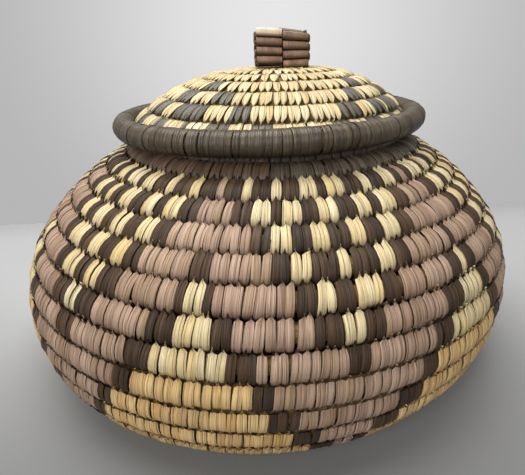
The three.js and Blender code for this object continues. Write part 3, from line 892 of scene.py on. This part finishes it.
for side, strip in knobStrips.items():
    knobStrip("knob_braid_" + side, "knob_strip_" + side, strip)
tailKnot("knob_tails", "knob_tail_knot")
print("knob braided")


# Floor, backdrop and light, in metres

studio = {
    "left": -3.0, "right": 3.0, "front": -3.0, "back": 0.19,  # the floor's edges
    "under": -0.0004,  # its height
    # the front and far parts are painted shade, the floor darkening towards the front and the corners
    "floor": 0.43, "floorFrontShade": 0.16, "floorFarShade": 0.3, "floorBack": 0.37,  # how light it is, part by part
    "middle": (0.0, 0.35, 0.0),  # what the parts lie round
    "frontShadeBand": (0.34, 0.54), "farShadeBand": (0.56, 1.1), "backBand": (0.14, 0.19),
    "floorRough": 0.9,
    "glow": 0.80, "wall": 0.47,  # the backdrop where it is brightest, and all round
    "glowWay": (0.05, 1.0, 0.05), "glowBand": (0.0, 0.62),
    "ambient": 0.27,
}
lights = {
    # its place, its width and height, and its watts; all aim at the basket
    "softbox_above": ((-0.1, 0.05, 0.9), (0.9, 0.7), 10),
    "softbox_front": ((-0.5, -1.1, 0.7), (0.9, 0.8), 9.8),
    "softbox_right": ((1.0, -0.5, 0.7), (0.8, 0.8), 1.5),
}
lightsAim = (0, 0, 0.08)


def grey(value):
    # as light as the value, with an alpha of one
    return (value, value, value, 1)


def makeFloor():
    # a flat floor, darker before the basket and far away as painted shade, and of another tone along its back
    # edge
    x = np.array([studio["left"], studio["right"]])
    y = np.array([studio["front"], studio["back"]])
    points = np.stack(np.broadcast_arrays(x[None, :], y[:, None], studio["under"]), -1).reshape(-1, 3)
    mesh = bpy.data.meshes.new("floor")
    mesh.from_pydata(points.tolist(), [], gridFaces(2, 2).tolist())
    mesh.update()
    floor = bpy.data.objects.new("floor", mesh)
    bpy.context.collection.objects.link(floor)
    material = bpy.data.materials.new("floor")
    material.use_nodes = True
    tree = material.node_tree
    spot = addNode(tree, "TexCoord").outputs["Object"]
    away = addNode(tree, "VectorMath", {0: spot, 1: studio["middle"]}, operation="DISTANCE").outputs["Value"]
    behind = addNode(tree, "SeparateXYZ", {0: spot}).outputs["Y"]
    colour = grey(studio["floor"])
    for value, band, part in ((away, "frontShadeBand", "floorFrontShade"), (away, "farShadeBand", "floorFarShade"),
                              (behind, "backBand", "floorBack")):
        amount = ramp(tree, value, studio[band], 0.0, 1.0, "SMOOTHSTEP")
        colour = blendColour(tree, amount, colour, grey(studio[part]))
    shader = tree.nodes["Principled BSDF"]
    tree.links.new(colour, shader.inputs["Base Color"])
    shader.inputs["Roughness"].default_value = studio["floorRough"]
    mesh.materials.append(material)


def makeWorld():
    # a pale backdrop, brightest behind the basket as a painted glow seen only by the camera, and a softer
    # light of its own
    world = bpy.data.worlds.new("studio")
    world.use_nodes = True
    tree = world.node_tree
    way = addNode(tree, "TexCoord").outputs["Generated"]
    away = addNode(tree, "VectorMath", {0: way, 1: studio["glowWay"]}, operation="DISTANCE").outputs["Value"]
    away = ramp(tree, away, studio["glowBand"], 0.0, 1.0, "SMOOTHSTEP")
    colour = blendColour(tree, away, grey(studio["glow"]), grey(studio["wall"]))
    seen = addNode(tree, "LightPath").outputs["Is Camera Ray"]
    colour = blendColour(tree, seen, grey(studio["ambient"]), colour)
    tree.links.new(colour, tree.nodes["Background"].inputs["Color"])
    bpy.context.scene.world = world


def areaLight(name, spot, aim, size, power):
    # a soft panel whose back points away from what it aims at
    lamp = bpy.data.lights.new(name, "AREA")
    lamp.shape = "RECTANGLE"
    lamp.size, lamp.size_y = size
    lamp.energy = power
    light = bpy.data.objects.new(name, lamp)
    way = np.array(spot, float) - np.array(aim, float)
    way /= np.linalg.norm(way)
    side = np.cross([0, 1, 0], way)
    side /= np.linalg.norm(side)
    light.matrix_world = standing(side, np.cross(way, side), way, spot)
    bpy.context.collection.objects.link(light)


makeFloor()
makeWorld()
for name, (spot, size, power) in lights.items():
    areaLight(name, spot, lightsAim, size, power)
bpy.context.scene.view_settings.view_transform = "Standard"
print("stage lit")
